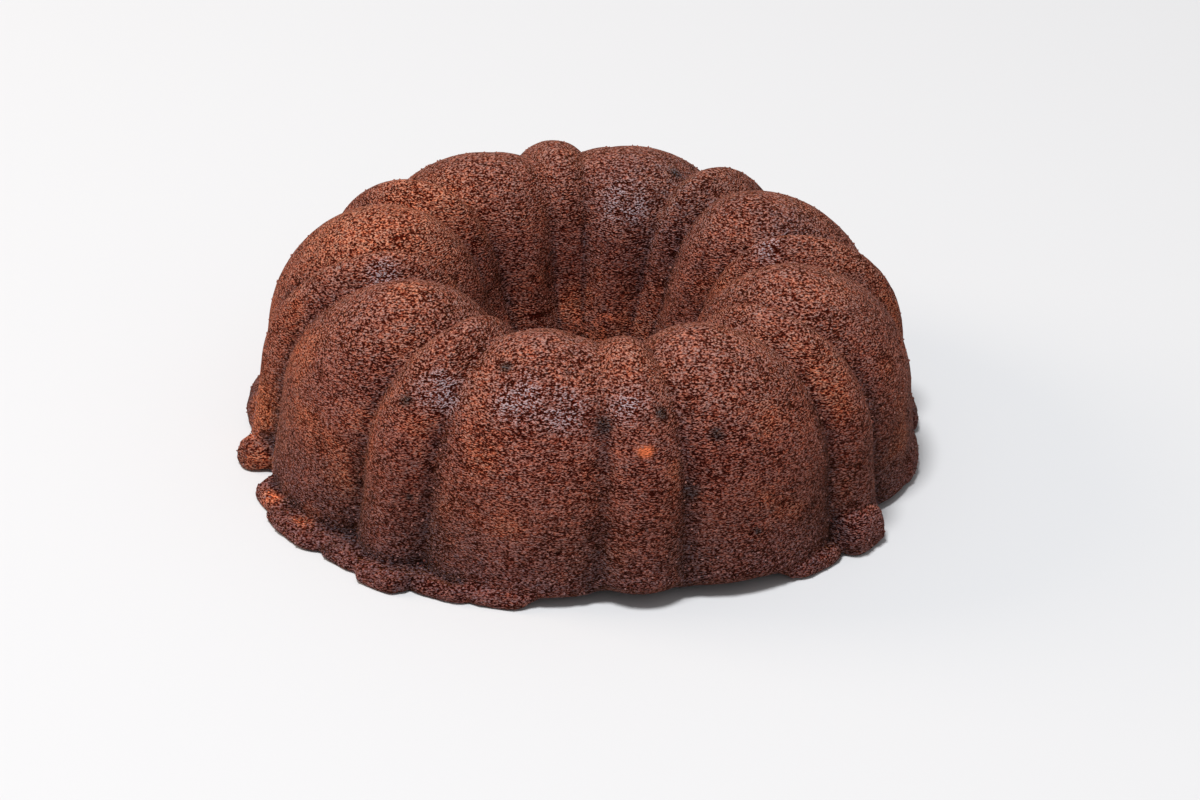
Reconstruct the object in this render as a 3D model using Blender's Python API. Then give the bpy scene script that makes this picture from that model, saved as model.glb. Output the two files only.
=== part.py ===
"""A dark rum cake baked in a fluted tube pan and turned out, as one solid.

The cake is a closed ring. Its section is a drafted outer wall, a rounded
crest and a funnel round the tube hole, and it carries eight wide lobes with
a narrow one after each. Batter that rose over the pan's rim is left round
the foot as an uneven lip, and the crown that baked uppermost is what the
cake now rests on.

Metres, +Z up, origin on the resting plane under the middle of the cake.
Bearings are degrees round the axis, from -Y at 0 towards +X at 90.
"""

from math import cos, exp, hypot, log, radians, sin
import random

import bpy
import bmesh
from mathutils import Vector, noise

# The pan's section, at the bottoms of the grooves between the lobes
FOOT_RADIUS = 0.1209
SHOULDER_RADIUS = 0.1155
SHOULDER_HEIGHT = 0.0329
CREST_RADIUS = 0.0743
CREST_HEIGHT = 0.0710
THROAT_RADIUS = 0.0446
THROAT_HEIGHT = 0.0377
TUBE_RADIUS = 0.0240
BEND_SOFTNESS = 0.0050

# The lobes: one wide and one narrow make a pair
PAIRS = 8
FIRST_GROOVE = 18.5
WIDE_SPAN = 30.4
PAIR_SPAN = 360 / PAIRS
# How far a lobe's crown stands out of the grooves: on the wall, crest, tube
WIDE_DEPTH = (0.0063, 0.0061, 0.0058)
NARROW_DEPTH = (0.0062, 0.0060, 0.0005)
# Groove roundness and fullness of the lobe's arch, and how much softer it is in the tube
WIDE_ARCH = (0.12, 0.75)
NARROW_ARCH = (0.24, 0.86)
TUBE_ARCH_SOFTNESS = 1.5
# Share of their depth that the lobes lose on the way down the tube
TUBE_FADE = 0.6
# Grooves that baked shallower over the crest: bearing, half width, share filled
SHALLOW = [(184, 7, 0.42), (198.5, 7, 0.34), (4, 7, 0.45), (18.5, 7, 0.25), (-27, 6, 0.15)]
# Lobes whose crest stands higher: bearing, half width, rise
HIGHER = [(191, 7, 0.0012)]

# The lip: bearing and half width in degrees, radius reached, height of its top
LIP_LUMPS = [
    (-87, 6.0, 0.1278, 0.0150),
    (-72.5, 4.2, 0.1336, 0.0090),
    (-59, 5.5, 0.1345, 0.0052),
    (-50, 8.5, 0.1375, 0.0050),
    (-39, 6.0, 0.1350, 0.0048),
    (-31, 5.5, 0.1380, 0.0050),
    (-22, 7.0, 0.1322, 0.0050),
    (-14, 7.5, 0.1300, 0.0060),
    (43, 6.5, 0.1282, 0.0060),
    (54, 5.5, 0.1318, 0.0140),
    (79, 6.0, 0.1276, 0.0130),
    (96, 5.0, 0.1290, 0.0130),
]
# Lumps on the side that faces away, drawn within these ranges
BACK_LUMPS = 9
BACK_SEED = 11
BACK_FROM = 106
BACK_TO = 258
BACK_HALF_WIDTHS = (4.5, 8.0)
BACK_RADII = (0.1265, 0.1305)
BACK_TOPS = (0.005, 0.012)
# The lip's section: its least height, and its widest point as a share of its height
PLAIN_LIP_TOP = 0.0030
LIP_NOSE = 0.35
LIP_EDGE_ROUND = 0.0010
# Depth of the crease behind a lip that is at least this wide on top
LIP_DIP = 0.0010
LIP_LEDGE = 0.0030

# The crown bulges down inside the foot's edge. Bearing, half width, height of the edge
EDGE_LIFT = 0.0026
LIP_LIFT = 0.0004
LIFTS = [(11, 9, 0.0082), (27, 10.5, 0.0072), (-1, 8, 0.0046), (150, 34, 0.0050), (-125, 24, 0.0046)]

# The flat that it rests on, and the rise of the crown inside it
REST_INNER = 0.050
REST_OUTER = 0.098
TUBE_EDGE_LIFT = 0.0030
TUBE_EDGE_SAG = 0.3
CROWN_SHARES = (0.45, 0.75, 0.93)

# Crumb torn out low in the tube: bearing, half width, height, half height, bulge
TORN = [(178, 20, 0.022, 0.007, 0.0026), (205, 22, 0.019, 0.006, 0.0012)]

# Unevenness of the baked surface
SWELL = 0.0007
SWELL_SIZE = 0.045
CRUMB = 0.00035
CRUMB_SIZE = 0.007

# Mesh: columns across a wide and a narrow lobe, rows along the section
WIDE_COLUMNS = 14
NARROW_COLUMNS = 8
LIP_ROWS = 2
WALL_ROWS = 3
OUTER_ROWS = 8
INNER_ROWS = 6
TUBE_ROWS = 5

CRUST_COLOUR = (0.135, 0.048, 0.034, 1.0)
CRUST_ROUGHNESS = 0.85


def arch(across, arch_shape):
    """Height of a lobe at -1 to 1 across it, from 0 in the grooves to 1 on its crown."""
    groove, fullness = arch_shape
    rise = (hypot(1 - across * across, groove) - groove) / (hypot(1, groove) - groove)
    return max(rise, 0) ** fullness


def bump(bearing, middle, half_width):
    """A full round hump, 1 at its middle and 0 from its half width on."""
    away = ((bearing - middle + 180) % 360 - 180) / half_width
    return max(1 - away ** 4, 0) ** 0.5


def lobe(bearing):
    """How far the lobe stands out at a bearing, on the wall, crest and tube."""
    along = (bearing - FIRST_GROOVE) % PAIR_SPAN
    if along < WIDE_SPAN:
        height = arch(2 * along / WIDE_SPAN - 1, WIDE_ARCH)
        on_wall, on_crest, in_tube = WIDE_DEPTH
    else:
        height = arch(2 * (along - WIDE_SPAN) / (PAIR_SPAN - WIDE_SPAN) - 1, NARROW_ARCH)
        on_wall, on_crest, in_tube = NARROW_DEPTH
    filled = max(share * bump(bearing, middle, half_width) for middle, half_width, share in SHALLOW)
    raised = sum(rise * bump(bearing, middle, half_width) for middle, half_width, rise in HIGHER)
    crest = on_crest * (height + filled * (1 - height)) + raised
    return on_wall * height, crest, in_tube * height ** TUBE_ARCH_SOFTNESS


def softened(drop):
    """A ramp that starts gently: 0 well above the bend and the drop well below it."""
    return BEND_SOFTNESS * log(1 + exp(drop / BEND_SOFTNESS))


def pan_point(turn, drop, depths):
    """Radius and height where the section faces turn degrees from level.

    Turn goes from 0 on the outer wall over 90 on the crest to 180 in the tube,
    and drop is how far down the wall or tube the point lies.
    """
    out = cos(radians(turn))
    up = sin(radians(turn))
    on_wall, on_crest, in_tube = depths
    if out > 0:
        side = on_wall
        fade = 1
        radius = CREST_RADIUS + (SHOULDER_RADIUS - CREST_RADIUS) * out
        height = SHOULDER_HEIGHT + (CREST_HEIGHT - SHOULDER_HEIGHT) * up - drop
        draft = (FOOT_RADIUS - SHOULDER_RADIUS) / SHOULDER_HEIGHT
        radius += draft * softened(SHOULDER_HEIGHT - height)
    else:
        side = in_tube
        fade = 1 - TUBE_FADE * drop / THROAT_HEIGHT
        radius = CREST_RADIUS + (CREST_RADIUS - THROAT_RADIUS) * out
        height = THROAT_HEIGHT + (CREST_HEIGHT - THROAT_HEIGHT) * up - drop
        draft = (THROAT_RADIUS - TUBE_RADIUS) / THROAT_HEIGHT
        radius -= draft * softened(THROAT_HEIGHT - height)
    depth = (on_crest + (side - on_crest) * out * out) * fade
    return radius + depth * out, height + depth * up


def back_lumps():
    """Lip lumps for the side that faces away, like those in front."""
    rng = random.Random(BACK_SEED)
    step = (BACK_TO - BACK_FROM) / BACK_LUMPS
    for index in range(BACK_LUMPS):
        bearing = BACK_FROM + (index + rng.uniform(0.25, 0.75)) * step
        yield bearing, rng.uniform(*BACK_HALF_WIDTHS), rng.uniform(*BACK_RADII), rng.uniform(*BACK_TOPS)


def lip(bearing, lumps):
    """How far out the lip reaches, the height of its top and of its lower edge."""
    reach = FOOT_RADIUS
    top = PLAIN_LIP_TOP
    most = 0.0
    for middle, half_width, radius, lump_top in lumps:
        share = bump(bearing, middle, half_width)
        reach = max(reach, FOOT_RADIUS + (radius - FOOT_RADIUS) * share)
        top = max(top, PLAIN_LIP_TOP + (lump_top - PLAIN_LIP_TOP) * share)
        most = max(most, share)
    lift = EDGE_LIFT
    for middle, half_width, height in LIFTS:
        lift = max(lift, height * bump(bearing, middle, half_width))
    lift += (LIP_LIFT - lift) * most
    return reach, max(top, lift + PLAIN_LIP_TOP), lift


def section(bearing, lumps):
    """Radius and height of each point round the section, from the foot's edge up and over."""
    depths = lobe(bearing)
    reach, top, lift = lip(bearing, lumps)
    nose = lift + LIP_NOSE * (top - lift)
    foot = pan_point(0, SHOULDER_HEIGHT - nose, depths)[0]
    beyond = max(reach - foot, 0)
    points = []

    # The lip: its lower edge, the round of its nose, and the crease where it meets the wall
    edge = foot + beyond - LIP_EDGE_ROUND
    points.append((edge, lift))
    flat = max(beyond - (top - nose), 0)
    for row in range(LIP_ROWS + 1):
        angle = radians(90 * row / LIP_ROWS)
        height = nose + (top - nose) * sin(angle)
        wall = pan_point(0, SHOULDER_HEIGHT - height, depths)[0]
        points.append((wall + flat + (beyond - flat) * cos(angle), height))
    ledge = min(flat / LIP_LEDGE, 1)
    crease = top + LIP_DIP * (1 - 2 * ledge)
    points.append((pan_point(0, SHOULDER_HEIGHT - crease, depths)[0], crease))

    # The wall, the crest and the tube
    for row in range(1, WALL_ROWS):
        height = crease + (SHOULDER_HEIGHT - crease) * row / WALL_ROWS
        points.append(pan_point(0, SHOULDER_HEIGHT - height, depths))
    for row in range(OUTER_ROWS):
        points.append(pan_point(90 * row / OUTER_ROWS, 0, depths))
    for row in range(INNER_ROWS):
        points.append(pan_point(90 + 90 * row / INNER_ROWS, 0, depths))
    for row in range(TUBE_ROWS + 1):
        drop = (THROAT_HEIGHT - TUBE_EDGE_LIFT) * row / TUBE_ROWS
        points.append(pan_point(180, drop, depths))

    # The crown underneath, down to the flat that it rests on and round up to the lip
    tube = points[-1][0]
    points.append(((tube + REST_INNER) / 2, TUBE_EDGE_LIFT * TUBE_EDGE_SAG))
    points.append((REST_INNER, 0.0))
    points.append((REST_OUTER, 0.0))
    for share in CROWN_SHARES:
        rise = 1 - (1 - share * share) ** 0.5
        points.append((REST_OUTER + (edge - REST_OUTER) * share, lift * rise))
    return points


def torn_bulge(bearing, height):
    """How far torn crumb stands into the tube."""
    bulge = 0.0
    for middle, half_width, level, half_height, size in TORN:
        upright = max(1 - ((height - level) / half_height) ** 2, 0)
        bulge = max(bulge, size * upright * bump(bearing, middle, half_width))
    return bulge


def placed(bearing, radius, height):
    """The point in space, with the tears and the unevenness of the baked crust."""
    angle = radians(bearing)
    point = Vector((radius * sin(angle), -radius * cos(angle), height))
    if radius <= REST_OUTER and height < TUBE_EDGE_LIFT / 2:
        return point
    swell = SWELL * noise.noise(point / SWELL_SIZE) + CRUMB * noise.noise(point / CRUMB_SIZE)
    if radius < THROAT_RADIUS:
        swell -= torn_bulge(bearing, height)
    outward = Vector((sin(angle), -cos(angle), 0))
    if radius > THROAT_RADIUS and height > SHOULDER_HEIGHT:
        outward.z = 1
    return point + outward * swell


def column_bearings():
    """Bearings of the mesh's columns, with one in every groove."""
    for pair in range(PAIRS):
        start = FIRST_GROOVE + pair * PAIR_SPAN
        for column in range(WIDE_COLUMNS):
            yield start + WIDE_SPAN * column / WIDE_COLUMNS
        for column in range(NARROW_COLUMNS):
            yield start + WIDE_SPAN + (PAIR_SPAN - WIDE_SPAN) * column / NARROW_COLUMNS


def build_cake():
    """The whole ring as one closed mesh, centred over the origin."""
    lumps = LIP_LUMPS + list(back_lumps())
    shape = bmesh.new()
    rings = []
    for bearing in column_bearings():
        points = section(bearing, lumps)
        rings.append([shape.verts.new(placed(bearing, radius, height)) for radius, height in points])
    for index, ring in enumerate(rings):
        ahead = rings[(index + 1) % len(rings)]
        for row in range(len(ring)):
            above = (row + 1) % len(ring)
            shape.faces.new((ring[row], ahead[row], ahead[above], ring[above]))
    bmesh.ops.recalc_face_normals(shape, faces=shape.faces)

    # The resting plane goes to zero and the middle of the outline over the origin
    low = [min(vert.co[axis] for vert in shape.verts) for axis in range(3)]
    high = [max(vert.co[axis] for vert in shape.verts) for axis in range(3)]
    middle = Vector(((low[0] + high[0]) / 2, (low[1] + high[1]) / 2, low[2]))
    bmesh.ops.translate(shape, verts=shape.verts, vec=-middle)

    mesh = bpy.data.meshes.new("cake")
    shape.to_mesh(mesh)
    shape.free()
    mesh.shade_smooth()
    cake = bpy.data.objects.new("cake", mesh)
    bpy.context.scene.collection.objects.link(cake)
    return cake


def crust_material():
    """Matt, dark red-brown crust."""
    material = bpy.data.materials.new("crust")
    material.use_nodes = True
    shader = material.node_tree.nodes["Principled BSDF"]
    shader.inputs["Base Color"].default_value = CRUST_COLOUR
    shader.inputs["Roughness"].default_value = CRUST_ROUGHNESS
    shader.inputs["Metallic"].default_value = 0.0
    return material


for leftover in list(bpy.data.objects):
    bpy.data.objects.remove(leftover, do_unlink=True)
build_cake().data.materials.append(crust_material())
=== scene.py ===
"""The looks of a dark rum cake baked in a fluted tube pan, on a pale studio floor.

Metres, +Z up. Bearings are degrees round the cake, from -Y at 0 towards +X at 90,
so bearing 0 faces the camera.
"""

import random
from math import cos, e, pi, radians, sin

import bpy
from mathutils import Matrix, Vector


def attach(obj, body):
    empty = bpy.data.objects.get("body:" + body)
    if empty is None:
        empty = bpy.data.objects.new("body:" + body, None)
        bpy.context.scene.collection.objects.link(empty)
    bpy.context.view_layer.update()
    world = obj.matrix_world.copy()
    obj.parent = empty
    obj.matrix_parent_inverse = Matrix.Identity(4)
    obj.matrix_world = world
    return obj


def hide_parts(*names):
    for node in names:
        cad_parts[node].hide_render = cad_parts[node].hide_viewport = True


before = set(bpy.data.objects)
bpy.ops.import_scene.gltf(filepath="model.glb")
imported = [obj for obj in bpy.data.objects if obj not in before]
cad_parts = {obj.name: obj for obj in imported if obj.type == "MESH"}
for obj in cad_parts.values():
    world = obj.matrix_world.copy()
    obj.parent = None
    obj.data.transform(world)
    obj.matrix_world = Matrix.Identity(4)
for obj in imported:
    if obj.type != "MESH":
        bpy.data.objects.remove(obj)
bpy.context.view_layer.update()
scene = bpy.context.scene


# The cake itself is one piece: dark batter that took the shape of a fluted tube pan
# and was turned out upside down. Its closed section, a drafted wall, a round crest and
# a funnel round the tube, is swept round by Geometry Nodes with its lobes and its lip.
CAKE_SIZES = {
    "Foot radius": 0.1209,
    "Shoulder radius": 0.1155,
    "Shoulder height": 0.0329,
    "Crest radius": 0.0743,
    "Crest height": 0.0710,
    "Throat radius": 0.0446,
    "Throat height": 0.0377,
    "Tube radius": 0.0240,
    "Bend softness": 0.0050,
    "Lobe pairs": 8,
    "First groove bearing": 18.5,
    "Wide lobe span": 30.4,
    "Columns in a wide lobe": 64,
    "Columns in a narrow lobe": 32,
    "Rest inner radius": 0.050,
    "Rest outer radius": 0.098,
    "Tube edge lift": 0.0030,
    "Lump depth": 0.00018,
    "Wrinkle depth": 0.00036,
    "Pit depth": 0.00090,
    "Torn crumb depth": 0.0016,
    "Lip raggedness": 0.0022,
}
# How far a lobe's crown stands out: on the wall, over the crest, in the tube
WIDE_DEPTH = (0.0063, 0.0061, 0.0058)
NARROW_DEPTH = (0.0062, 0.0060, 0.0005)
# Roundness of the grooves beside a lobe, and fullness of its arch
WIDE_ARCH = (0.12, 0.75)
NARROW_ARCH = (0.24, 0.86)
TUBE_ARCH_SOFTNESS = 1.5
TUBE_FADE = 0.6
# Grooves that baked shallower over the crest: bearing, half width, share filled
SHALLOW = [(184, 7, 0.42), (198.5, 7, 0.34), (4, 7, 0.45), (18.5, 7, 0.25), (-27, 6, 0.15)]
HIGHER_BEARING, HIGHER_HALF_WIDTH, HIGHER_RISE = 191, 7, 0.0012
# The lip: bearing and half width in degrees, radius reached, height of its top
LIP_LUMPS = [
    (-87, 6.0, 0.1278, 0.0150),
    (-72.5, 4.2, 0.1336, 0.0090),
    (-59, 5.5, 0.1345, 0.0052),
    (-50, 8.5, 0.1375, 0.0050),
    (-39, 6.0, 0.1350, 0.0048),
    (-31, 5.5, 0.1380, 0.0050),
    (-22, 7.0, 0.1322, 0.0050),
    (-14, 7.5, 0.1300, 0.0060),
    (43, 6.5, 0.1282, 0.0060),
    (54, 5.5, 0.1318, 0.0140),
    (79, 6.0, 0.1276, 0.0130),
    (96, 5.0, 0.1290, 0.0130),
]
BACK_LUMPS, BACK_SEED, BACK_FROM, BACK_TO = 9, 11, 106, 258
PLAIN_LIP_TOP = 0.0030
LIP_NOSE = 0.35
LIP_EDGE_ROUND = 0.0010
LIP_DIP = 0.0010
LIP_LEDGE = 0.0030
CREASE_FADE = 3.5
# The crown that baked uppermost curls up at the foot's edge: bearing, half width, height
EDGE_LIFT = 0.0026
LIP_LIFT = 0.0004
LIFTS = [(11, 9, 0.0082), (27, 10.5, 0.0072), (-1, 8, 0.0046), (150, 34, 0.0050), (-125, 24, 0.0046)]
# Crumb torn out low in the tube: bearing, half width, height, half height, share of the depth
TORN = [(178, 20, 0.022, 0.007, 1.0), (205, 22, 0.019, 0.006, 0.5)]
# How wide the swells, lumps and wrinkles of the baked surface are, and how far its pits
# stand apart; wrinkles lie flat because the batter rose in layers
SWELL_DEPTH, SWELL_SIZE = 0.0007, 0.045
LUMP_SIZE = 0.0060
WRINKLE_SIZE, WRINKLE_FLATNESS = 0.0048, 2.2
PIT_SPACING, SHARE_WITHOUT_PIT = 0.0055, 0.85
TORN_LUMP_SIZE = 0.0045
# How far beyond the foot the crumb of the lip begins to be ragged and is fully so
RAGGED_FROM, RAGGED_TO = 0.0045, 0.0095
# The relief fades out where the cake rests on the table
RESTING, CLEAR_OF_REST = 0.0002, 0.0030
# Rows of faces in each band of the section
ROWS = {
    "edge": 3,
    "lip": 6,
    "ledge": 4,
    "wall": 24,
    "outer crest": 52,
    "inner crest": 42,
    "tube": 28,
    "tube edge": 4,
    "rest": 3,
    "foot edge": 7,
}
# Where the ring's axis stands, because the lip reaches further on one side than the other
RING_AXIS = Vector((-0.00015, -0.00058, 0.0))
WELD = 0.00001


class Field:
    """A value that varies over a surface: the output of a node, ready for arithmetic."""

    def __init__(self, tree, socket):
        self.tree = tree
        self.socket = socket

    def __add__(self, other):
        return reckon(self.tree, "ADD", self, other)

    def __radd__(self, other):
        return reckon(self.tree, "ADD", other, self)

    def __sub__(self, other):
        return reckon(self.tree, "SUBTRACT", self, other)

    def __rsub__(self, other):
        return reckon(self.tree, "SUBTRACT", other, self)

    def __mul__(self, other):
        return reckon(self.tree, "MULTIPLY", self, other)

    def __rmul__(self, other):
        return reckon(self.tree, "MULTIPLY", other, self)

    def __truediv__(self, other):
        return reckon(self.tree, "DIVIDE", self, other)

    def __rtruediv__(self, other):
        return reckon(self.tree, "DIVIDE", other, self)

    def __pow__(self, other):
        return reckon(self.tree, "POWER", self, other)

    def __mod__(self, other):
        return reckon(self.tree, "FLOORED_MODULO", self, other)

    def __lt__(self, other):
        return reckon(self.tree, "LESS_THAN", self, other)

    def __gt__(self, other):
        return reckon(self.tree, "GREATER_THAN", self, other)


def plug(tree, socket, value):
    """Links a field to a socket, or sets the socket to a plain value."""
    if isinstance(value, Field):
        tree.links.new(value.socket, socket)
    else:
        socket.default_value = value


def reckon(tree, operation, *terms):
    """One step of arithmetic."""
    node = tree.nodes.new("ShaderNodeMath")
    node.operation = operation
    for socket, term in zip(node.inputs, terms):
        plug(tree, socket, term)
    return Field(tree, node.outputs[0])


def greater(first, second):
    return reckon(first.tree, "MAXIMUM", first, second)


def lesser(first, second):
    return reckon(first.tree, "MINIMUM", first, second)


def sine(degrees_field):
    return reckon(degrees_field.tree, "SINE", degrees_field * (pi / 180))


def cosine(degrees_field):
    return reckon(degrees_field.tree, "COSINE", degrees_field * (pi / 180))


def root(value):
    return reckon(value.tree, "SQRT", greater(value, 0))


def whole(value):
    return reckon(value.tree, "FLOOR", value)


def either(condition, yes, no):
    """The value of yes where the condition is 1, and of no where it is 0."""
    return no + (yes - no) * condition


def eased(value, start, end):
    """0 before start, 1 past end, with a smooth change between."""
    tree = value.tree
    node = tree.nodes.new("ShaderNodeMapRange")
    node.interpolation_type = "SMOOTHSTEP"
    plug(tree, node.inputs["Value"], value)
    node.inputs["From Min"].default_value = min(start, end)
    node.inputs["From Max"].default_value = max(start, end)
    node.inputs["To Min"].default_value = 0.0 if start < end else 1.0
    node.inputs["To Max"].default_value = 1.0 if start < end else 0.0
    return Field(tree, node.outputs["Result"])


def place(tree, *coordinates):
    """A vector from three fields or numbers."""
    node = tree.nodes.new("ShaderNodeCombineXYZ")
    for socket, coordinate in zip(node.inputs, coordinates):
        plug(tree, socket, coordinate)
    return Field(tree, node.outputs[0])


def parts(vector):
    """The three fields of a vector."""
    node = vector.tree.nodes.new("ShaderNodeSeparateXYZ")
    vector.tree.links.new(vector.socket, node.inputs[0])
    return [Field(vector.tree, output) for output in node.outputs]


def stretched(vector, by):
    """A vector scaled by its own factor along each axis."""
    node = vector.tree.nodes.new("ShaderNodeVectorMath")
    node.operation = "MULTIPLY"
    plug(vector.tree, node.inputs[0], vector)
    plug(vector.tree, node.inputs[1], by)
    return Field(vector.tree, node.outputs[0])


def noise(vector, grain, detail=2.0, roughness=0.5):
    """Even noise from about -1 to 1, whose lumps are about one grain across."""
    node = vector.tree.nodes.new("ShaderNodeTexNoise")
    vector.tree.links.new(vector.socket, node.inputs["Vector"])
    node.inputs["Scale"].default_value = 1 / grain
    node.inputs["Detail"].default_value = detail
    node.inputs["Roughness"].default_value = roughness
    return Field(vector.tree, node.outputs[0]) * 2 - 1


def cells(vector, size, randomness=1.0):
    """Distance to the nearest of many scattered points, in cell sizes, and a draw for each cell."""
    tree = vector.tree
    node = tree.nodes.new("ShaderNodeTexVoronoi")
    tree.links.new(vector.socket, node.inputs["Vector"])
    node.inputs["Scale"].default_value = 1 / size
    node.inputs["Randomness"].default_value = randomness
    draw = tree.nodes.new("ShaderNodeSeparateXYZ")
    tree.links.new(node.outputs["Color"], draw.inputs[0])
    return Field(tree, node.outputs["Distance"]), Field(tree, draw.outputs[0])


def hump(bearing, middle, half_width):
    """A full round hump, 1 at its middle and 0 from its half width on."""
    away = ((bearing - middle + 180) % 360 - 180) / half_width
    return root(1 - away * away * away * away)


def start_tree(name, sizes):
    """A Geometry Nodes tree with a named input for each size, and the fields of those inputs."""
    tree = bpy.data.node_groups.new(name, "GeometryNodeTree")
    tree.interface.new_socket("Geometry", in_out="INPUT", socket_type="NodeSocketGeometry")
    tree.interface.new_socket("Geometry", in_out="OUTPUT", socket_type="NodeSocketGeometry")
    for size, value in sizes.items():
        kind = "NodeSocketInt" if isinstance(value, int) else "NodeSocketFloat"
        tree.interface.new_socket(size, in_out="INPUT", socket_type=kind)
    group = tree.nodes.new("NodeGroupInput")
    return tree, {size: Field(tree, group.outputs[size]) for size in sizes}


def step(tree, kind, geometry=None, **inputs):
    """Adds a node that works on a geometry, and returns what comes out of it first."""
    node = tree.nodes.new(kind)
    if geometry is not None:
        tree.links.new(geometry.socket, node.inputs[0])
    for name, value in inputs.items():
        plug(tree, node.inputs[name.replace("_", " ").title()], value)
    return Field(tree, node.outputs[0])


def finish_tree(tree, geometry, material):
    """Ends a tree with real geometry in its material."""
    real = step(tree, "GeometryNodeRealizeInstances", geometry)
    dressed = step(tree, "GeometryNodeSetMaterial", real, material=material)
    output = tree.nodes.new("NodeGroupOutput")
    tree.links.new(dressed.socket, output.inputs[0])


def grown(name, tree, sizes, base=None):
    """Runs a tree with its sizes and keeps the result as a plain mesh object."""
    mesh = base.data.copy() if base else bpy.data.meshes.new(name)
    maker = bpy.data.objects.new(name + "_maker", mesh)
    scene.collection.objects.link(maker)
    modifier = maker.modifiers.new("shape", "NODES")
    modifier.node_group = tree
    for socket in tree.interface.items_tree:
        if socket.in_out == "INPUT" and socket.name in sizes:
            modifier[socket.identifier] = sizes[socket.name]
    evaluated = maker.evaluated_get(bpy.context.evaluated_depsgraph_get())
    result = bpy.data.meshes.new_from_object(evaluated)
    result.name = name
    maker.modifiers.remove(modifier)
    bpy.data.objects.remove(maker)
    piece = bpy.data.objects.new(name, result)
    scene.collection.objects.link(piece)
    return piece


def attribute(tree, name):
    """A named attribute of the surface, in a tree of either kind."""
    if tree.bl_idname == "ShaderNodeTree":
        node = tree.nodes.new("ShaderNodeAttribute")
        node.attribute_name = name
        return Field(tree, node.outputs["Fac"])
    node = tree.nodes.new("GeometryNodeInputNamedAttribute")
    node.inputs["Name"].default_value = name
    return Field(tree, node.outputs[0])


def lobe_height(size, within, wide):
    """Height of the lobe at a column of its pair, from 0 in the grooves to 1 on its crown."""
    before = (1 - wide) * size["Columns in a wide lobe"]
    columns = either(wide, size["Columns in a wide lobe"], size["Columns in a narrow lobe"])
    across = 2 * (within - before) / columns - 1
    groove = either(wide, WIDE_ARCH[0], NARROW_ARCH[0])
    fullness = either(wide, WIDE_ARCH[1], NARROW_ARCH[1])
    fall = 1 - across * across
    rise = (root(fall * fall + groove * groove) - groove) / (root(1 + groove * groove) - groove)
    return greater(rise, 0) ** fullness


def crest_depth(bearing, depth, height):
    """How far the lobe stands out over the crest, where some grooves baked shallower."""
    filled = 0
    for middle, half_width, share in SHALLOW:
        filled = greater(share * hump(bearing, middle, half_width), filled)
    raised = HIGHER_RISE * hump(bearing, HIGHER_BEARING, HIGHER_HALF_WIDTH)
    return depth * (height + filled * (1 - height)) + raised


def softened(size, drop):
    """A ramp that starts gently: 0 well above the bend and the drop well below it."""
    growth = reckon(drop.tree, "EXPONENT", drop / size["Bend softness"])
    return size["Bend softness"] * reckon(drop.tree, "LOGARITHM", growth + 1, e)


def outer_side(size, out, up, drop, depths):
    """Radius and height on the crest's outer half, or down the wall by a drop."""
    on_wall, on_crest, in_tube = depths
    radius = size["Crest radius"] + (size["Shoulder radius"] - size["Crest radius"]) * out
    height = size["Shoulder height"] + (size["Crest height"] - size["Shoulder height"]) * up - drop
    draft = (size["Foot radius"] - size["Shoulder radius"]) / size["Shoulder height"]
    radius = radius + draft * softened(size, size["Shoulder height"] - height)
    depth = on_crest + (on_wall - on_crest) * (out * out)
    return radius + depth * out, height + depth * up


def inner_side(size, out, up, drop, depths):
    """Radius and height on the crest's inner half, or down the tube by a drop."""
    on_wall, on_crest, in_tube = depths
    radius = size["Crest radius"] + (size["Crest radius"] - size["Throat radius"]) * out
    height = size["Throat height"] + (size["Crest height"] - size["Throat height"]) * up - drop
    draft = (size["Throat radius"] - size["Tube radius"]) / size["Throat height"]
    radius = radius - draft * softened(size, size["Throat height"] - height)
    fade = 1 - TUBE_FADE * drop / size["Throat height"]
    depth = (on_crest + (in_tube - on_crest) * (out * out)) * fade
    return radius + depth * out, height + depth * up


def lip_lumps():
    """The lumps of the lip that show in front, and others like them at the back."""
    yield from LIP_LUMPS
    rng = random.Random(BACK_SEED)
    spacing = (BACK_TO - BACK_FROM) / BACK_LUMPS
    for index in range(BACK_LUMPS):
        bearing = BACK_FROM + (index + rng.uniform(0.25, 0.75)) * spacing
        yield bearing, rng.uniform(4.5, 8.0), rng.uniform(0.1265, 0.1305), rng.uniform(0.005, 0.012)


def lip(size, bearing):
    """How far out the lip reaches, the height of its top and of its lower edge."""
    reach = size["Foot radius"]
    top = PLAIN_LIP_TOP
    most = 0.0
    for middle, half_width, radius, lump_top in lip_lumps():
        share = hump(bearing, middle, half_width)
        reach = greater(size["Foot radius"] + (radius - size["Foot radius"]) * share, reach)
        top = greater(PLAIN_LIP_TOP + (lump_top - PLAIN_LIP_TOP) * share, top)
        most = greater(share, most)
    lift = EDGE_LIFT
    for middle, half_width, height in LIFTS:
        lift = greater(height * hump(bearing, middle, half_width), lift)
    lift = lift + (LIP_LIFT - lift) * most
    return reach, greater(top, lift + PLAIN_LIP_TOP), lift


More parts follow.
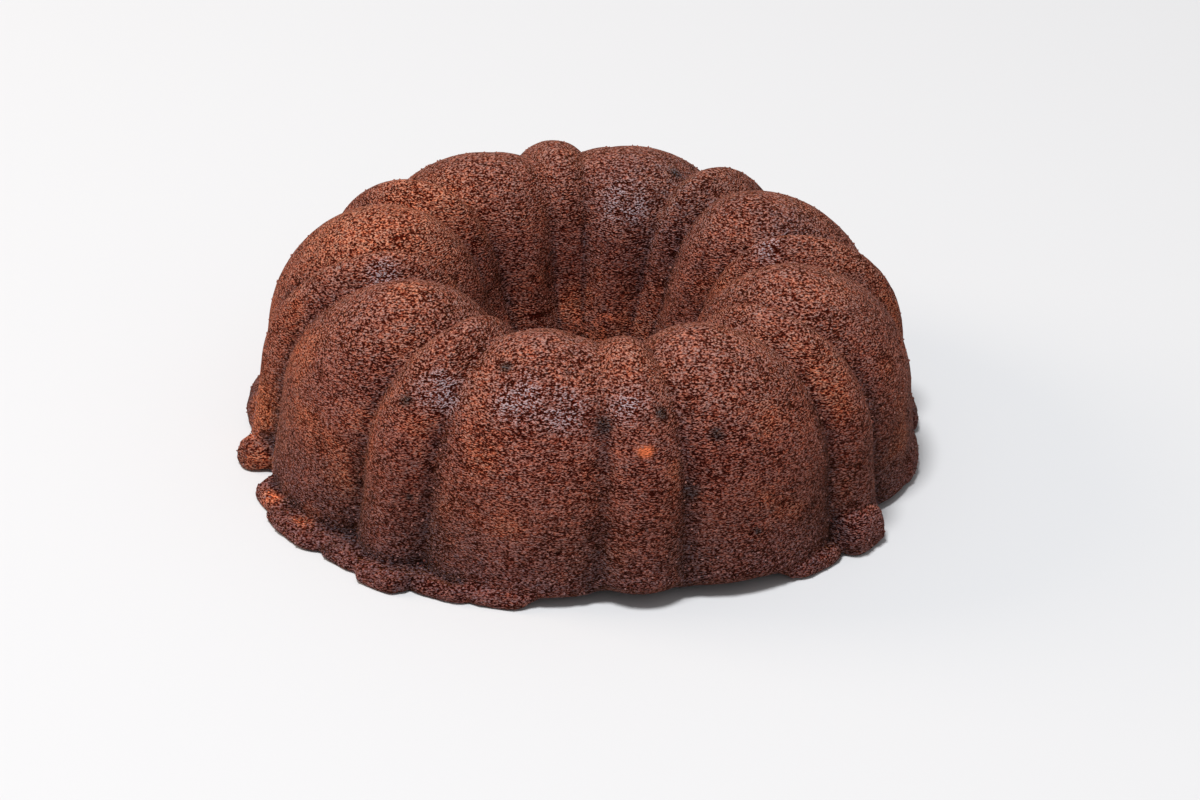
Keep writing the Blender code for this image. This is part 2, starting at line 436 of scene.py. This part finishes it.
def ring_bands(size, t, bearing, height, wide):
    """The section's bands from the lip's edge up, over and back under.

    Each band is its rows, its column steps at its first row, between and at its
    last row, its radius and height over t from 0 to 1, and how near the crease
    behind the lip it is.
    """
    on_wall = either(wide, WIDE_DEPTH[0], NARROW_DEPTH[0]) * height
    on_crest = crest_depth(bearing, either(wide, WIDE_DEPTH[1], NARROW_DEPTH[1]), height)
    in_tube = either(wide, WIDE_DEPTH[2], NARROW_DEPTH[2]) * height ** TUBE_ARCH_SOFTNESS
    depths = (on_wall, on_crest, in_tube)
    quarter = 90 * t
    reach, top, lift = lip(size, bearing)

    def wall(level):
        return outer_side(size, 1, 0, size["Shoulder height"] - level, depths)

    nose = lift + LIP_NOSE * (top - lift)
    foot = wall(nose)[0]
    beyond = greater(reach - foot, 0)
    edge = foot + beyond - LIP_EDGE_ROUND
    flat = greater(beyond - (top - nose), 0)
    turned = edge + LIP_EDGE_ROUND * sine(quarter), nose - (nose - lift) * cosine(quarter)
    yield ROWS["edge"], (1, 1, 1), turned, 0.0
    level = nose + (top - nose) * sine(quarter)
    rounded = wall(level)[0] + flat + (beyond - flat) * cosine(quarter), level
    yield ROWS["lip"], (1, 1, 1), rounded, 0.0
    ledge = lesser(flat / LIP_LEDGE, 1)
    crease = top + LIP_DIP * (1 - 2 * ledge)
    shelf = wall(top)[0] + flat
    ledge_point = shelf + (wall(crease)[0] - shelf) * t, top + (crease - top) * t
    yield ROWS["ledge"], (1, 1, 1), ledge_point, ledge * t
    up_wall = wall(crease + (size["Shoulder height"] - crease) * t)
    yield ROWS["wall"], (1, 1, 1), up_wall, ledge * greater(1 - CREASE_FADE * t, 0)

    outer_crest = outer_side(size, cosine(quarter), sine(quarter), 0 * t, depths)
    yield ROWS["outer crest"], (1, 1, 1), outer_crest, 0.0
    inward = 90 + quarter
    inner_crest = inner_side(size, cosine(inward), sine(inward), 0 * t, depths)
    yield ROWS["inner crest"], (1, 2, 2), inner_crest, 0.0
    tube_depth = size["Throat height"] - size["Tube edge lift"]
    yield ROWS["tube"], (2, 2, 2), inner_side(size, -1, 0, tube_depth * t, depths), 0.0

    rim = inner_side(size, -1, 0, tube_depth + 0 * t, depths)[0]
    sag = size["Tube edge lift"] * (1 - t) ** 1.75
    tube_edge = rim + (size["Rest inner radius"] - rim) * t, sag
    yield ROWS["tube edge"], (2, 4, 4), tube_edge, 0.0
    breadth = size["Rest outer radius"] - size["Rest inner radius"]
    yield ROWS["rest"], (4, 4, 4), (size["Rest inner radius"] + breadth * t, 0 * t), 0.0
    out = size["Rest outer radius"] + (edge - size["Rest outer radius"]) * sine(quarter)
    yield ROWS["foot edge"], (4, 4, 1), (out, lift * (1 - cosine(quarter))), 0.0


def baked_relief(tree, size):
    """How far the baked surface stands out from the pan's shape, and how deep its hollows are, for
    the painted shade of its pits and wrinkles.
    """
    position = Field(tree, tree.nodes.new("GeometryNodeInputPosition").outputs[0])
    normal = Field(tree, tree.nodes.new("GeometryNodeInputNormal").outputs[0])
    x, y, z = parts(position)
    upright = 1 - reckon(tree, "ABSOLUTE", parts(normal)[2])
    radius = root(x * x + y * y)
    bearing = reckon(tree, "ARCTAN2", x, -1 * y) * (180 / pi)

    swells = SWELL_DEPTH * noise(position, SWELL_SIZE, 0)
    lumps = size["Lump depth"] * noise(position, LUMP_SIZE, 2)
    squeezed = stretched(position, (1, 1, WRINKLE_FLATNESS))
    wrinkle = eased(noise(squeezed, WRINKLE_SIZE, 1), -0.05, -0.55) * upright
    distance, draw = cells(position, PIT_SPACING)
    pit = eased(distance, 0.30, 0.08) * (draw > SHARE_WITHOUT_PIT)
    torn = 0
    for middle, half_width, level, half_height, share in TORN:
        off = (z - level) / half_height
        torn = greater(share * greater(1 - off * off, 0) * hump(bearing, middle, half_width), torn)
    torn = torn * (radius < size["Throat radius"])
    ragged = torn * (size["Torn crumb depth"] * (1.2 + 1.3 * noise(position, TORN_LUMP_SIZE, 2)))
    on_lip = eased(radius - size["Foot radius"], RAGGED_FROM, RAGGED_TO)
    ragged = ragged + on_lip * size["Lip raggedness"] * (noise(position, LUMP_SIZE, 3, 0.6) - 0.10)
    shown = eased(z, RESTING, CLEAR_OF_REST)
    # Pits and wrinkles, which the crust's colour darkens as painted shade
    hollow = greater(pit, wrinkle) * shown
    relief = swells + lumps + ragged - size["Wrinkle depth"] * wrinkle - size["Pit depth"] * pit
    return relief * shown, hollow, torn


def ring_tree(material):
    """The tree that sweeps the section round, welds it and adds the baked surface."""
    tree, size = start_tree("fluted ring", CAKE_SIZES)
    wide_columns = size["Columns in a wide lobe"]
    pair_columns = wide_columns + size["Columns in a narrow lobe"]
    columns = size["Lobe pairs"] * pair_columns
    position = Field(tree, tree.nodes.new("GeometryNodeInputPosition").outputs[0])
    around, along, level = parts(position)
    t = along + 0.5
    stride = attribute(tree, "column_step")
    column = whole(whole((around + 0.5) * columns + 0.5) / stride) * stride
    pair = whole(column / pair_columns)
    within = column - pair * pair_columns
    wide = within < wide_columns
    pair_span = 360 / size["Lobe pairs"]
    narrow_span = pair_span - size["Wide lobe span"]
    in_wide = size["Wide lobe span"] * within / wide_columns
    past_wide = narrow_span * (within - wide_columns) / size["Columns in a narrow lobe"]
    in_narrow = size["Wide lobe span"] + past_wide
    bearing = size["First groove bearing"] + pair_span * pair + either(wide, in_wide, in_narrow)
    height = lobe_height(size, within, wide)

    join = tree.nodes.new("GeometryNodeJoinGeometry")
    for rows, steps, section, crease in ring_bands(size, t, bearing, height, wide):
        grid = step(tree, "GeometryNodeMeshGrid", vertices_x=columns + 1, vertices_y=rows + 1)
        first, between, last = steps
        half_row = 0.5 / rows
        stored = first + (between - first) * (t > half_row) + (last - between) * (t > 1 - half_row)
        grid = step(tree, "GeometryNodeStoreNamedAttribute", grid, name="column_step", value=stored)
        # Groove depth and the crease behind the lip, kept for the painted shade in the crust's
        # colour
        grid = step(tree, "GeometryNodeStoreNamedAttribute", grid, name="groove", value=1 - height)
        grid = step(tree, "GeometryNodeStoreNamedAttribute", grid, name="crease", value=crease)
        radius, rise = section
        point = place(tree, radius * sine(bearing), -1 * radius * cosine(bearing), rise)
        grid = step(tree, "GeometryNodeSetPosition", grid, position=point)
        tree.links.new(grid.socket, join.inputs[0])
    ring = Field(tree, join.outputs[0])
    ring = step(tree, "GeometryNodeMergeByDistance", ring, distance=WELD)
    ring = step(tree, "GeometryNodeRemoveAttribute", ring, name="column_step")

    relief, hollow, torn = baked_relief(tree, size)
    # Stored for the painted shade of the pits and wrinkles in the crust's colour
    ring = step(tree, "GeometryNodeStoreNamedAttribute", ring, name="hollow", value=hollow)
    ring = step(tree, "GeometryNodeStoreNamedAttribute", ring, name="torn", value=torn)
    normal = Field(tree, tree.nodes.new("GeometryNodeInputNormal").outputs[0])
    offset = stretched(normal, place(tree, relief, relief, relief))
    ring = step(tree, "GeometryNodeSetPosition", ring, offset=offset)
    above_table = place(tree, around, along, greater(level, 0))
    ring = step(tree, "GeometryNodeSetPosition", ring, position=above_table)
    ring = step(tree, "GeometryNodeSetPosition", ring, offset=tuple(RING_AXIS))
    ring = step(tree, "GeometryNodeSetShadeSmooth", ring)
    finish_tree(tree, ring, material)
    return tree


def mixed(share, first, second):
    """A colour between two colours, each a field or three numbers."""
    tree = share.tree
    node = tree.nodes.new("ShaderNodeMix")
    node.data_type = "RGBA"
    plug(tree, node.inputs["Factor"], share)
    for socket, colour in zip((node.inputs[6], node.inputs[7]), (first, second)):
        plug(tree, socket, colour if isinstance(colour, Field) else (*colour, 1.0))
    return Field(tree, node.outputs[2])


# Colours of the crust from the bottom of a pore to the top of a grain, pores painted near black as
# shade and grain tops painted pale as highlight
PORE_SHADE_BLACK = (0.030, 0.0024, 0.0008)
CRUMB_RED = (0.196, 0.0535, 0.0370)
GRAIN_TOP_AND_HIGHLIGHT = (0.392, 0.185, 0.154)
PLAIN = (1, 1, 1)
# What tints it, as shares of red, green and blue: orange in random patches and as painted light
# on the left, tan where the top dried and as painted light, purple brown where syrup soaked the
# foot and as painted shade, nearly black in random patches and as painted shade in the grooves,
# paler on the lip as painted light, and its own tint for each grain and fleck
PATCHY_AND_LIT_ORANGE = (1.50, 1.32, 0.97)
LIT_PALE_ORANGE = (1.24, 1.18, 1.06)
DRY_AND_LIT_TAN = (1.50, 1.60, 1.55)
SOAKED_SHADED_PURPLE = (0.52, 0.64, 0.80)
GROOVE_SHADE_AND_DARK_PATCH = (0.24, 0.42, 0.62)
WARM_GRAIN = (1.18, 0.92, 0.74)
COOL_GRAIN = (0.86, 1.02, 1.12)
RED_WALL = (1.10, 1.00, 0.97)
LIP_LIT_PALE = (1.35, 1.25, 1.25)
REAR_COOL = (0.78, 0.97, 1.16)
RED_FLECK = (1.08, 0.96, 0.90)
TEAL_FLECK = (0.76, 0.90, 1.00)
SMUDGE_TEAL = (0.30, 0.50, 0.62)
# Colours of torn crumb, of the painted highlight on glossy spots, of chipped crust and of the fuzz
TORN_ORANGE = (0.62, 0.150, 0.070)
GLINT_LILAC = (0.50, 0.40, 0.44)
CHIPPED_ORANGE = (0.88, 0.205, 0.080)
FUZZ_TINT = (1.0, 0.38, 0.17, 1.0)
# How wide the marks are, from patches that dried alike to single grains and grit
PATCH_SIZE, SPOT_SIZE, FLECK_SIZE = 0.024, 0.0075, 0.0042
TEAR_SIZE, GRAIN_SIZE, GRIT_SIZE = 0.0023, 0.00116, 0.00088
STRAND_SIZE, STRAND_STRETCH = 0.0062, 0.013
FOLD_SIZE, FOLD_STRETCH = 0.018, 0.016
SHEEN_PATCH_SIZE = 0.012
# How many times wider than high each kind is
SPOT_FLATNESS, FLECK_FLATNESS, GRAIN_FLATNESS = 1.2, 1.3, 2.4
TEAR_FLATNESS, STRAND_FLATNESS, FOLD_FLATNESS = 3.5, 2.8, 4.5
SLIT_FLATNESS, CHIP_FLATNESS = 4, 1.5
# Heights where the crest is dry and painted lit, where the foot is soaked and painted shaded,
# where the grooves' painted shade ends and where the wall is reddest, the radius where the
# lip begins its painted light, and how far to the left the painted light of that side reaches
DRY_LIT_FROM, DRY_LIT_TO = 0.052, 0.078
SOAKED_SHADED_TO, SOAKED_SHADED_FROM = 0.036, 0.004
WALL_TOP, WALL_BELOW = 0.074, 0.052
RED_FROM, REDDEST, RED_TO = 0.018, 0.036, 0.072
LIP_FROM, LIP_TO = 0.1215, 0.1270
LEFT_FROM, LEFT_TO = 0.095, 0.142
# Middle of a grain, height of the relief for the light, and the tone's lowest and highest relief
GRAIN_MIDDLE = 0.52
RELIEF_HEIGHT = 0.0006
LOWEST, HIGHEST = -0.80, 0.82
# Where the crust is glossier and a lilac highlight is painted on its grain tops: a point on the
# crust and how far it reaches
GLOSSY_GLINT_SPOTS = [
    ((-0.022, -0.099, 0.069), 0.014),
    ((-0.008, -0.102, 0.067), 0.012),
    ((0.015, -0.100, 0.069), 0.010),
    ((-0.050, -0.090, 0.065), 0.012),
    ((-0.0755, -0.0226, 0.073), 0.009),
    ((0.012, 0.051, 0.068), 0.014),
    ((0.064, 0.010, 0.075), 0.010),
]
# Where the crust chipped off and paler crumb shows, its height times the chip's flatness
CHIPPED = [((0.0213, -0.1125, 0.0870), 0.0044)]
# Painted light: spots painted paler and more orange, as if more brightly lit from the left
LEFT_LIT_SPOTS = [
    ((-0.065, 0.039, 0.076), 0.032),
    ((-0.082, 0.012, 0.072), 0.046),
    ((-0.1210, -0.0280, 0.0180), 0.024),
    ((-0.1220, -0.0455, 0.0070), 0.016),
    ((-0.1110, -0.0690, 0.0050), 0.009),
    ((-0.0980, -0.0834, 0.0044), 0.008),
    ((-0.0655, -0.0415, 0.0765), 0.012),
]
# Painted light: where the wall is painted paler, as if more brightly lit
LIT_WALL_SPOTS = [((-0.009, -0.112, 0.045), 0.036), ((0.118, -0.022, 0.040), 0.022)]
# Where it is greyer and less red
GREYER_SPOTS = [((0.026, 0.058, 0.062), 0.042), ((0.075, 0.030, 0.070), 0.020)]
# Where a small dark, greenish smudge is
SMUDGED = [
    ((-0.0279, -0.0863, 0.0730), 0.0042),
    ((-0.0614, -0.0920, 0.0612), 0.0040),
    ((0.0261, -0.1004, 0.0660), 0.0046),
    ((0.0068, -0.1039, 0.0623), 0.0060),
    ((0.0454, -0.1001, 0.0589), 0.0044),
    ((0.0375, -0.1096, 0.0409), 0.0060),
    ((0.0306, 0.0698, 0.0729), 0.0046),
    ((0.0621, -0.1070, 0.0245), 0.0022),
    ((-0.0594, -0.1052, 0.0304), 0.0022),
]
# Where crumb tore away low in the tube, and the slit beside it, its height times its flatness
TORN_LOW = [((0.0090, 0.0312, 0.0270), 0.0110), ((-0.0010, 0.0320, 0.0250), 0.0070)]
SLIT = [((-0.0200, 0.0290, 0.1200), 0.0070), ((-0.0130, 0.0310, 0.1190), 0.0060)]


def near(position, spots):
    """1 at any of some spots and 0 beyond their reach."""
    share = 0.0
    for middle, reach in spots:
        node = position.tree.nodes.new("ShaderNodeVectorMath")
        node.operation = "DISTANCE"
        plug(position.tree, node.inputs[0], position)
        plug(position.tree, node.inputs[1], middle)
        away = Field(position.tree, node.outputs["Value"])
        share = reckon(position.tree, "MAXIMUM", eased(away, reach, 0.2 * reach), share)
    return share


def flattened(position, times):
    """Positions in which whatever is round comes out wider than high."""
    return stretched(position, (1, 1, times))


def tinted(tint, share, by):
    """A tint multiplied by another one where its share is 1."""
    return stretched(tint, mixed(share, PLAIN, by))


def crumb_relief(position):
    """Height of the grains, tears and cracks from about -1 to 1, and a draw for each grain."""
    tree = position.tree
    flatter = flattened(position, GRAIN_FLATNESS)
    away, draw = cells(flatter, GRAIN_SIZE)
    grain = noise(flatter, GRIT_SIZE, 1) + 0.8 * (GRAIN_MIDDLE - away)
    tears = noise(flattened(position, TEAR_FLATNESS), TEAR_SIZE)
    strands = noise(flattened(position, STRAND_FLATNESS), STRAND_SIZE, 2, 0.6)
    cracks = eased(reckon(tree, "ABSOLUTE", strands), 0.065, 0.0)
    cracks = cracks * eased(noise(position, STRAND_STRETCH, 1), -0.20, 0.20)
    folds = noise(flattened(position, FOLD_FLATNESS), FOLD_SIZE, 2, 0.6)
    folds = 1.3 * eased(reckon(tree, "ABSOLUTE", folds), 0.035, 0.0)
    folds = folds * eased(noise(position, FOLD_STRETCH, 1), 0.05, 0.35)
    slit = 1.6 * near(flattened(position, SLIT_FLATNESS), SLIT)
    cracks = greater(greater(cracks, folds), slit)
    return 1.58 * grain + 0.45 * tears - 0.65 * cracks, draw


def crust_tint(position, spots, draw):
    """What tints the crumb: how dry or soaked it baked, painted light on the left, the top and the
    lip, painted shade at the foot, in the grooves and the crease, and each grain's own tint.
    """
    tree = position.tree
    across, along, level = parts(position)
    patches = noise(position, PATCH_SIZE)
    # Painted light: the left side and the listed spots painted paler and more orange, as if lit more
    # from the left
    left = eased(0.03 * patches - across, LEFT_FROM, LEFT_TO)
    paler = greater(eased(patches, -0.05, 0.5), left)
    lit_spot_share = near(position, LEFT_LIT_SPOTS)
    tint = mixed(greater(paler, lit_spot_share), PLAIN, PATCHY_AND_LIT_ORANGE)
    # Partly dry crust and partly painted light: paler and tan towards the top, and on the listed
    # wall spots as painted light only
    dry_and_lit = eased(level + 0.006 * patches + 0.004 * spots, DRY_LIT_FROM, DRY_LIT_TO)
    tint = mixed(0.6 * greater(dry_and_lit, 0.65 * near(position, LIT_WALL_SPOTS)), tint, DRY_AND_LIT_TAN)
    # Partly syrup soaked crust and partly painted shade: darker and more purple towards the foot
    soaked_and_shaded = eased(level + 0.008 * patches + 0.006 * spots, SOAKED_SHADED_TO, SOAKED_SHADED_FROM)
    tint = mixed(0.8 * soaked_and_shaded * (1 - lit_spot_share), tint, SOAKED_SHADED_PURPLE)
    # Painted light: the listed spots painted paler still
    tint = tinted(tint, lit_spot_share, LIT_PALE_ORANGE)
    radius = root(across * across + along * along)
    # Painted light: the lip painted paler, as if more brightly lit
    tint = tinted(tint, eased(radius, LIP_FROM, LIP_TO), LIP_LIT_PALE)
    tint = tinted(tint, near(position, GREYER_SPOTS), REAR_COOL)
    tint = tinted(tint, near(position, SMUDGED), SMUDGE_TEAL)
    tint = mixed(0.25 * eased(spots, 0.15, 0.6), tint, DRY_AND_LIT_TAN)
    tint = mixed(0.30 * eased(spots, -0.2, -0.6), tint, GROOVE_SHADE_AND_DARK_PATCH)
    # Painted shade: nearly black in the grooves low on the wall and in the crease behind the lip
    groove = eased(attribute(tree, "groove") + 0.35 * spots, 0.45, 1.0)
    on_wall = eased(level, WALL_TOP, WALL_BELOW)
    tint = mixed(0.6 * groove * on_wall, tint, GROOVE_SHADE_AND_DARK_PATCH)
    crease = eased(attribute(tree, "crease") + 0.3 * spots, 0.25, 0.95)
    tint = mixed(0.75 * crease, tint, GROOVE_SHADE_AND_DARK_PATCH)

    fleck = noise(flattened(position, FLECK_FLATNESS), FLECK_SIZE, 2, 0.6)
    tint = tinted(tint, eased(fleck, 0.10, 0.5), RED_FLECK)
    tint = tinted(tint, eased(fleck, -0.15, -0.5), TEAL_FLECK)
    tint = tinted(tint, eased(draw, 0.5, 1.0), WARM_GRAIN)
    tint = tinted(tint, eased(draw, 0.5, 0.0), COOL_GRAIN)
    belly = eased(level, RED_FROM, REDDEST) * eased(level, RED_TO, WALL_BELOW)
    return tinted(tint, belly, RED_WALL)


def crust_finish():
    """Matt crumb about a millimetre across: pores painted dark as shade, grain tops painted pale as
    highlight, a top partly dry and partly painted light, and a foot partly soaked and partly painted
    shade.
    """
    material = bpy.data.materials.new("cake_crust")
    material.use_nodes = True
    tree = material.node_tree
    shader = tree.nodes["Principled BSDF"]
    position = Field(tree, tree.nodes.new("ShaderNodeTexCoord").outputs["Object"])
    spots = noise(flattened(position, SPOT_FLATNESS), SPOT_SIZE, 3)
    relief, draw = crumb_relief(position)

    # Colour by relief: low pores, cracks and hollows painted dark as shade, high grain tops painted
    # pale as highlight
    tone = eased(relief - 0.35 * attribute(tree, "hollow"), LOWEST, HIGHEST)
    colour = mixed(eased(tone, 0.12, 0.48), PORE_SHADE_BLACK, CRUMB_RED)
    colour = mixed(eased(tone, 0.42, 1.0), colour, GRAIN_TOP_AND_HIGHLIGHT)
    colour = stretched(colour, crust_tint(position, spots, draw))
    # Painted highlight: lilac glints on the grain tops of the glossy spots, which are also less
    # rough
    glossy_glint = near(position, GLOSSY_GLINT_SPOTS) * eased(spots, -0.5, 0.2)
    colour = mixed(glossy_glint * eased(tone, 0.45, 0.85), colour, GLINT_LILAC)
    lumps = eased(noise(position, TORN_LUMP_SIZE), -0.15, 0.30)
    torn = greater(attribute(tree, "torn"), near(position, TORN_LOW)) * lumps
    colour = mixed(0.8 * torn * eased(tone, 0.1, 0.8), colour, TORN_ORANGE)
    chipped = near(flattened(position, CHIP_FLATNESS), CHIPPED)
    colour = mixed(chipped * eased(tone, -0.3, 0.4), colour, CHIPPED_ORANGE)
    tree.links.new(colour.socket, shader.inputs["Base Color"])

    roughness = 0.70 - 0.30 * glossy_glint + 0.12 * noise(position, SHEEN_PATCH_SIZE)
    tree.links.new(roughness.socket, shader.inputs["Roughness"])
    shader.inputs["Specular IOR Level"].default_value = 0.03
    shader.inputs["Sheen Weight"].default_value = 0.15
    shader.inputs["Sheen Roughness"].default_value = 0.22
    shader.inputs["Sheen Tint"].default_value = FUZZ_TINT
    bump = tree.nodes.new("ShaderNodeBump")
    bump.inputs["Distance"].default_value = RELIEF_HEIGHT
    tree.links.new(relief.socket, bump.inputs["Height"])
    tree.links.new(bump.outputs["Normal"], shader.inputs["Normal"])
    return material


cake_crust = grown("cake_crust", ring_tree(crust_finish()), CAKE_SIZES)
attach(cake_crust, "root")
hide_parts("cake")


# Loose crumbs: grains that tore off when the cake was turned out and still cling to its
# crust, most of them low on the wall and on the lip. Geometry Nodes scatters them over
# the crust as small lumps sunk into it.
CRUMB_SIZES = {
    "Crumbs per square metre": 26000.0,
    "Crumbs on the foot": 60000.0,
    "Smallest crumb": 0.00022,
    "Largest crumb": 0.00062,
    "Draw": 7,
}
# Heights between which the crumbs of the foot thin out, and below which none cling
FOOT_CRUMBS_TO, FOOT_CRUMBS_FROM = 0.020, 0.004
CLEAR_OF_TABLE = 0.0015
# Crumbs cling to faces that look up, sideways or a little down
STEEPEST_OVERHANG = -0.3
CRUMB_HUE_SIZE, CRUMB_GLOSS_SIZE = 0.0022, 0.0040
CRUMB_TINT = (0.95, 0.90, 0.85)


def crumb_tree(material):
    """The tree that scatters grains over a crust and turns them into real lumps."""
    tree, size = start_tree("loose crumbs", CRUMB_SIZES)
    crust = Field(tree, tree.nodes["Group Input"].outputs["Geometry"])
    position = Field(tree, tree.nodes.new("GeometryNodeInputPosition").outputs[0])
    normal = Field(tree, tree.nodes.new("GeometryNodeInputNormal").outputs[0])
    level = parts(position)[2]
    shown = (level > CLEAR_OF_TABLE) * (parts(normal)[2] > STEEPEST_OVERHANG)
    on_foot = eased(level, FOOT_CRUMBS_TO, FOOT_CRUMBS_FROM)
    thick = size["Crumbs per square metre"] + size["Crumbs on the foot"] * on_foot

    scatter = tree.nodes.new("GeometryNodeDistributePointsOnFaces")
    plug(tree, scatter.inputs["Mesh"], crust)
    plug(tree, scatter.inputs["Density"], thick * shown)
    plug(tree, scatter.inputs["Seed"], size["Draw"])
    lump = step(tree, "GeometryNodeMeshIcoSphere", radius=1.0, subdivisions=1)
    draw = tree.nodes.new("FunctionNodeRandomValue")
    draw.data_type = "FLOAT_VECTOR"
    least, most = size["Smallest crumb"], size["Largest crumb"]
    plug(tree, draw.inputs[0], place(tree, least, least, least))
    plug(tree, draw.inputs[1], place(tree, most, most, most))
    plug(tree, draw.inputs["Seed"], size["Draw"])
    grains = tree.nodes.new("GeometryNodeInstanceOnPoints")
    plug(tree, grains.inputs["Points"], Field(tree, scatter.outputs["Points"]))
    plug(tree, grains.inputs["Instance"], lump)
    plug(tree, grains.inputs["Rotation"], Field(tree, scatter.outputs["Rotation"]))
    plug(tree, grains.inputs["Scale"], Field(tree, draw.outputs[0]))
    finish_tree(tree, Field(tree, grains.outputs[0]), material)
    return tree


def crumb_finish():
    """Matt grains of the same crumb, each lighter or darker than the next."""
    material = bpy.data.materials.new("loose_crumbs")
    material.use_nodes = True
    tree = material.node_tree
    shader = tree.nodes["Principled BSDF"]
    position = Field(tree, tree.nodes.new("ShaderNodeTexCoord").outputs["Object"])
    level = parts(position)[2]
    hue = eased(noise(position, CRUMB_HUE_SIZE, 1), -0.35, 0.35)
    colour = mixed(hue, CRUMB_RED, GRAIN_TOP_AND_HIGHLIGHT)
    # Partly syrup soaked crumb and partly painted shade: darker and more purple towards the foot
    soaked_and_shaded = 0.7 * eased(level + 0.006 * noise(position, SPOT_SIZE), SOAKED_SHADED_TO, SOAKED_SHADED_FROM)
    colour = stretched(colour, mixed(soaked_and_shaded, CRUMB_TINT, SOAKED_SHADED_PURPLE))
    tree.links.new(colour.socket, shader.inputs["Base Color"])
    roughness = 0.78 + 0.15 * noise(position, CRUMB_GLOSS_SIZE, 1)
    tree.links.new(roughness.socket, shader.inputs["Roughness"])
    shader.inputs["Specular IOR Level"].default_value = 0.12
    return material


loose_crumbs = grown("loose_crumbs", crumb_tree(crumb_finish()), CRUMB_SIZES, base=cake_crust)
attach(loose_crumbs, "root")


# The studio: a pale floor, a white surround, one large soft light high up on the left,
# and a weaker warm one low on the left, which makes that side of the cake more orange.
FLOOR_SIZE = 12.0
FLOOR_COLOUR = (0.70, 0.71, 0.73, 1.0)
SURROUND_COLOUR = (1.0, 1.0, 1.0, 1.0)
SURROUND_STRENGTH = 0.3
FLOOR_ROUGHNESS = 0.9
# Each light: bearing, elevation and distance, then its width, power and colour
KEY_PLACE, KEY_SIZE, KEY_POWER = (-50, 74, 4.0), 1.2, 150.0
KEY_COLOUR = (1.0, 1.0, 1.0)
FILL_PLACE, FILL_SIZE, FILL_POWER = (-100, 25, 3.0), 1.5, 28.0
FILL_COLOUR = (1.0, 0.80, 0.62)
LIT_POINT = (0, 0, 0.03)


def studio_floor():
    """A plain sheet that runs far beyond the picture."""
    mesh = bpy.data.meshes.new("floor")
    half = FLOOR_SIZE / 2
    corners = [(-half, -half, 0), (half, -half, 0), (half, half, 0), (-half, half, 0)]
    mesh.from_pydata(corners, [], [(0, 1, 2, 3)])
    material = bpy.data.materials.new("floor_paint")
    material.use_nodes = True
    shader = material.node_tree.nodes["Principled BSDF"]
    shader.inputs["Base Color"].default_value = FLOOR_COLOUR
    shader.inputs["Roughness"].default_value = FLOOR_ROUGHNESS
    mesh.materials.append(material)
    floor = bpy.data.objects.new("floor", mesh)
    scene.collection.objects.link(floor)


def aimed(thing, spot, target, roll=0.0):
    """Stands a light or a camera at a spot, turned to a target and rolled clockwise."""
    facing = (Vector(target) - Vector(spot)).to_track_quat("-Z", "Y").to_matrix()
    turn = facing @ Matrix.Rotation(radians(roll), 3, "Z")
    thing.matrix_world = Matrix.Translation(spot) @ turn.to_4x4()


def round_from(bearing, elevation, distance):
    """The point at a bearing, an elevation and a distance from the origin."""
    level = distance * cos(radians(elevation))
    side = radians(bearing)
    return Vector((level * sin(side), -level * cos(side), distance * sin(radians(elevation))))


def soft_light(name, stand, size, power, colour):
    """A round soft box that faces the cake."""
    data = bpy.data.lights.new(name, "AREA")
    data.shape = "DISK"
    data.size = size
    data.energy = power
    data.color = colour
    light = bpy.data.objects.new(name, data)
    scene.collection.objects.link(light)
    aimed(light, round_from(*stand), LIT_POINT)


studio_floor()
scene.view_settings.view_transform = "Standard"
world = bpy.data.worlds.new("studio")
world.use_nodes = True
surround = world.node_tree.nodes["Background"]
surround.inputs["Color"].default_value = SURROUND_COLOUR
surround.inputs["Strength"].default_value = SURROUND_STRENGTH
scene.world = world
soft_light("key", KEY_PLACE, KEY_SIZE, KEY_POWER, KEY_COLOUR)
soft_light("fill", FILL_PLACE, FILL_SIZE, FILL_POWER, FILL_COLOUR)


# The camera stands where the photograph was taken from, a little over a metre away
# and about 31 degrees above the table, with a slight roll.
VIEW_DISTANCE, VIEW_ELEVATION, VIEW_ROLL = 1.1293, 31.28, 2.976
VIEW_FROM = RING_AXIS + Vector((0, 0, 0.002))
VIEW_AIM = Vector((0.00558, -0.00058, 0.01067))
VIEW_LENS, VIEW_SENSOR = 88.70, 36.0

camera_data = bpy.data.cameras.new("camera")
camera_data.lens = VIEW_LENS
camera_data.sensor_width = VIEW_SENSOR
camera = bpy.data.objects.new("camera", camera_data)
scene.collection.objects.link(camera)
aimed(camera, VIEW_FROM + round_from(0, VIEW_ELEVATION, VIEW_DISTANCE), VIEW_AIM, VIEW_ROLL)
scene.camera = camera
